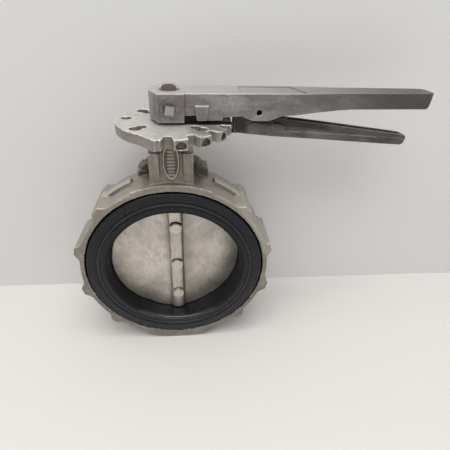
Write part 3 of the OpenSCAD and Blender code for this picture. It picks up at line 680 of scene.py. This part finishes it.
def seat_profile():
    """Front half of the rubber's section in millimetres, from its sleeve round the face to the bore."""
    face = SEAT_HIGH.y / MM
    return ([(86, 0), (86, face - 9)]
            + arc((97.4, face - 8.4), 0.6, -90, 0, 4)
            + arc((96.4, face - 1.8), 1.6, 0, 90, 7)
            + [(93.9, face - 0.2), (93.5, face - 0.35), (93.1, face - 0.2), (89.0, face - 0.2)]
            + [(88.3, face - 0.5), (87.9, face - 1.0), (87.2, face - 1.2), (86.9, face - 1.0)]
            + arc((85.4, face - 1.3), 1.3, 5, 175, 11)
            + [(83.8, face - 1.0), (83.3, face - 1.15), (82.8, face - 0.8), (82.3, face - 0.45)]
            + [(81.8, face - 0.4), (79, face - 0.4)]
            + arc((77.3, face - 2.4), 2.0, 90, 180, 9)
            + [(75.3, face - 5), (75.3, 12), (75.3, 0)])


def lathe(profile, segments):
    """Revolves a closed list of (radius, depth) points in millimetres about the pipe's axis."""
    mesh = bpy.data.meshes.new("lathe")
    form = bmesh.new()
    rings = []
    for k in range(segments):
        turn = 2 * math.pi * k / segments
        rings.append([form.verts.new((r * MM * math.cos(turn), y * MM, r * MM * math.sin(turn)))
                      for r, y in profile])
    count = len(profile)
    for k, ring in enumerate(rings):
        following = rings[(k + 1) % segments]
        for i in range(count):
            j = (i + 1) % count
            form.faces.new((ring[i], ring[j], following[j], following[i]))
    bmesh.ops.recalc_face_normals(form, faces=form.faces)
    form.to_mesh(mesh)
    form.free()
    return mesh


def make_seat(material):
    """The rubber seat, turned from its section and bored through for the stem."""
    half = seat_profile()
    section = half + [(r, -y) for r, y in half[::-1] if y > 0]
    segments = 288
    mesh = lathe(section, segments)
    cutter = bmesh.new()
    bmesh.ops.create_cone(cutter, segments=64, radius1=STEM_HOLE_RADIUS, radius2=STEM_HOLE_RADIUS,
                          depth=0.4, cap_ends=True)
    cutter_mesh = bpy.data.meshes.new("seat_stem_hole")
    cutter.to_mesh(cutter_mesh)
    cutter.free()
    tool = bpy.data.objects.new("seat_stem_hole", cutter_mesh)
    scene.collection.objects.link(tool)
    mesh = evaluated(mesh, ("BOOLEAN", {"operation": "DIFFERENCE", "object": tool, "solver": "EXACT"}))
    bpy.data.objects.remove(tool)
    return new_piece("rubber_seat", mesh, material, "valve_body", "black_rubber", "seat_liner")


# ---- latch spring ----

def make_spring(material):
    """A compression spring with closed end turns."""
    turns = 9
    steps_a_turn = 36
    sides = 12
    wire = 0.55 * MM
    middle = (SPRING_LOW + SPRING_HIGH) / 2
    coil = (SPRING_HIGH.x - SPRING_LOW.x) / 2 - wire
    closed_rise = 2.1 * wire
    open_rise = (SPRING_HIGH.z - SPRING_LOW.z - 2 * wire - 2 * closed_rise) / (turns - 2)
    form = bmesh.new()
    rings = []
    for k in range(turns * steps_a_turn + 1):
        turned = k / steps_a_turn
        closed = min(turned, 1) + max(turned - turns + 1, 0)
        height = SPRING_LOW.z + wire + closed * closed_rise + (turned - closed) * open_rise
        outward = Vector((math.cos(2 * math.pi * turned), math.sin(2 * math.pi * turned), 0))
        centre = Vector((middle.x, middle.y, height)) + outward * coil
        angles = [2 * math.pi * j / sides for j in range(sides)]
        around = [outward * math.cos(a) + Vector((0, 0, math.sin(a))) for a in angles]
        rings.append([form.verts.new(centre + wire * direction) for direction in around])
    for ring, following in zip(rings, rings[1:]):
        for j in range(sides):
            k = (j + 1) % sides
            form.faces.new((ring[j], ring[k], following[k], following[j]))
    form.faces.new(rings[0])
    form.faces.new(rings[-1])
    bmesh.ops.recalc_face_normals(form, faces=form.faces)
    mesh = bpy.data.meshes.new("spring_wire")
    form.to_mesh(mesh)
    form.free()
    spring = new_piece("compression_spring", mesh, material, "rotor", "turned_steel", "latch_spring")
    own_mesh(spring)


# ---- CAD nodes that keep their shape ----

def finish_node(node, material, bevel=0.0):
    """Gives a CAD node its material and, where asked, broken edges."""
    piece = nodes[node]
    piece.data.materials.clear()
    piece.data.materials.append(material)
    if bevel:
        modifier = piece.modifiers.new("broken_edges", "BEVEL")
        modifier.width = bevel
        modifier.segments = 3
        modifier.limit_method = "ANGLE"
        modifier.angle_limit = math.radians(40)
        modifier.harden_normals = False


# ---- surroundings ----

def plain(name, colour, roughness):
    """Even paint with a faint cloudiness."""
    s = Shader(name, metallic=0.0, specular=0.3)
    return s.finish(s.mix(s.noise(0.4, 2), colour, [c * 0.985 for c in colour]), roughness)


def one_sided(material):
    """Lets light and sight through the backs of a backdrop's faces, so it never hides the valve."""
    tree = material.node_tree
    geometry = tree.nodes.new("ShaderNodeNewGeometry")
    clear = tree.nodes.new("ShaderNodeBsdfTransparent")
    choice = tree.nodes.new("ShaderNodeMixShader")
    tree.links.new(geometry.outputs["Backfacing"], choice.inputs[0])
    tree.links.new(tree.nodes["Principled BSDF"].outputs[0], choice.inputs[1])
    tree.links.new(clear.outputs[0], choice.inputs[2])
    tree.links.new(choice.outputs[0], tree.nodes["Material Output"].inputs["Surface"])
    return material


def make_surroundings():
    """A pale shelf under the valve and a pale wall behind it."""
    floor_level = BODY_LOW.z
    wall_distance = 80 * MM
    wall_top = 1.6
    reach = 3.0
    side = 9.0
    for name, corners, material in (
        ("shelf", [(-side, -reach, floor_level), (side, -reach, floor_level),
                   (side, reach, floor_level), (-side, reach, floor_level)],
         plain("shelf_paint", (0.60, 0.59, 0.578), 0.55)),
        ("wall", [(-side, wall_distance, floor_level), (side, wall_distance, floor_level),
                  (side, wall_distance, wall_top), (-side, wall_distance, wall_top)],
         one_sided(plain("wall_paint", (0.69, 0.69, 0.68), 0.8))),
    ):
        mesh = bpy.data.meshes.new(name)
        mesh.from_pydata(corners, [], [(0, 1, 2, 3)])
        mesh.materials.append(material)
        surface = bpy.data.objects.new(name, mesh)
        scene.collection.objects.link(surface)


def area_light(name, place, size, power, colour):
    """A rectangular light that faces the valve."""
    aim = Vector((0.05, 0, 0))
    data = bpy.data.lights.new(name, "AREA")
    data.shape = "RECTANGLE"
    data.size, data.size_y = size
    data.energy = power
    data.color = colour
    light = bpy.data.objects.new(name, data)
    scene.collection.objects.link(light)
    light.location = place
    light.rotation_euler = (aim - Vector(place)).to_track_quat("-Z", "Y").to_euler()


def make_lights():
    """A room that is brighter towards its ceiling, with a broad panel and a thin tube overhead."""
    world = bpy.data.worlds.new("room")
    scene.world = world
    world.use_nodes = True
    tree = world.node_tree
    background = tree.nodes["Background"]
    coordinates = tree.nodes.new("ShaderNodeTexCoord")
    split = tree.nodes.new("ShaderNodeSeparateXYZ")
    ramp = tree.nodes.new("ShaderNodeMapRange")
    ramp.inputs["From Min"].default_value = -0.15
    ramp.inputs["From Max"].default_value = 0.9
    ramp.inputs["To Min"].default_value = 0.16
    ramp.inputs["To Max"].default_value = 1.04
    tree.links.new(coordinates.outputs["Generated"], split.inputs[0])
    tree.links.new(split.outputs["Z"], ramp.inputs["Value"])
    tree.links.new(ramp.outputs["Result"], background.inputs["Strength"])
    background.inputs["Color"].default_value = (1.0, 0.99, 0.97, 1)
    area_light("ceiling_panel", place=(-0.2, -0.65, 1.9), size=(2.2, 1.6), power=33, colour=(1, 0.99, 0.97))
    area_light("ceiling_tube", place=(0.15, -0.25, 1.9), size=(0.9, 0.08), power=4, colour=(1, 1, 0.99))


def make_camera():
    """A phone held above and in front of the valve, looking a little to the right."""
    place = (19.8 * MM, -344.5 * MM, 263.8 * MM)
    pitch = math.radians(32.604)
    yaw = math.radians(6.169)
    roll = math.radians(2.424)
    data = bpy.data.cameras.new("camera")
    data.sensor_width = 36.0
    data.lens = 28.488
    data.clip_start = 0.01
    camera = bpy.data.objects.new("camera", data)
    scene.collection.objects.link(camera)
    turn = (Matrix.Rotation(-yaw, 4, "Z") @ Matrix.Rotation(math.pi / 2 - pitch, 4, "X")
            @ Matrix.Rotation(roll, 4, "Z"))
    camera.matrix_world = Matrix.Translation(place) @ turn
    scene.camera = camera


# ---- build ----

scene.view_settings.view_transform = "Standard"
make_camera()
make_surroundings()
make_lights()

steel = turned_steel()
bronze = bearing_bronze()
black = rubber()

body_casting = casting("body", "body_casting", voxel=0.75 * MM, passes=6, ease=body_ease,
                       material=cast_stainless(), body="valve_body", slot="cast_stainless")
roughen_ears(body_casting)
casting("disc", "disc_casting", voxel=0.7 * MM, passes=12, ease=disc_ease,
        material=satin_stainless(), body="rotor", slot="satin_stainless")
casting("handle", "handle_casting", voxel=0.6 * MM, passes=4, ease=even_ease,
        material=cast_aluminium(), body="rotor", slot="cast_aluminium")
casting("latch_lever", "latch_lever_casting", voxel=0.45 * MM, passes=5, ease=even_ease,
        material=dark_aluminium(), body="latch", slot="dark_cast_aluminium")
make_seat(black)
make_spring(steel)

finish_node("stem", stem_steel(), bevel=1.0 * MM)
finish_node("disc_screws", steel, bevel=0.35 * MM)
finish_node("handle_set_screw", steel, bevel=0.5 * MM)
finish_node("hub_washer", steel, bevel=0.3 * MM)
finish_node("stem_retaining_ring", steel)
finish_node("pivot_pin", blackened_steel())
for node in ("upper_bushing", "middle_bushing", "lower_bushing", "thrust_washer"):
    finish_node(node, bronze)
for node in ("stem_seal", "weather_seal", "stem_orings", "disc_screw_orings"):
    finish_node(node, black)
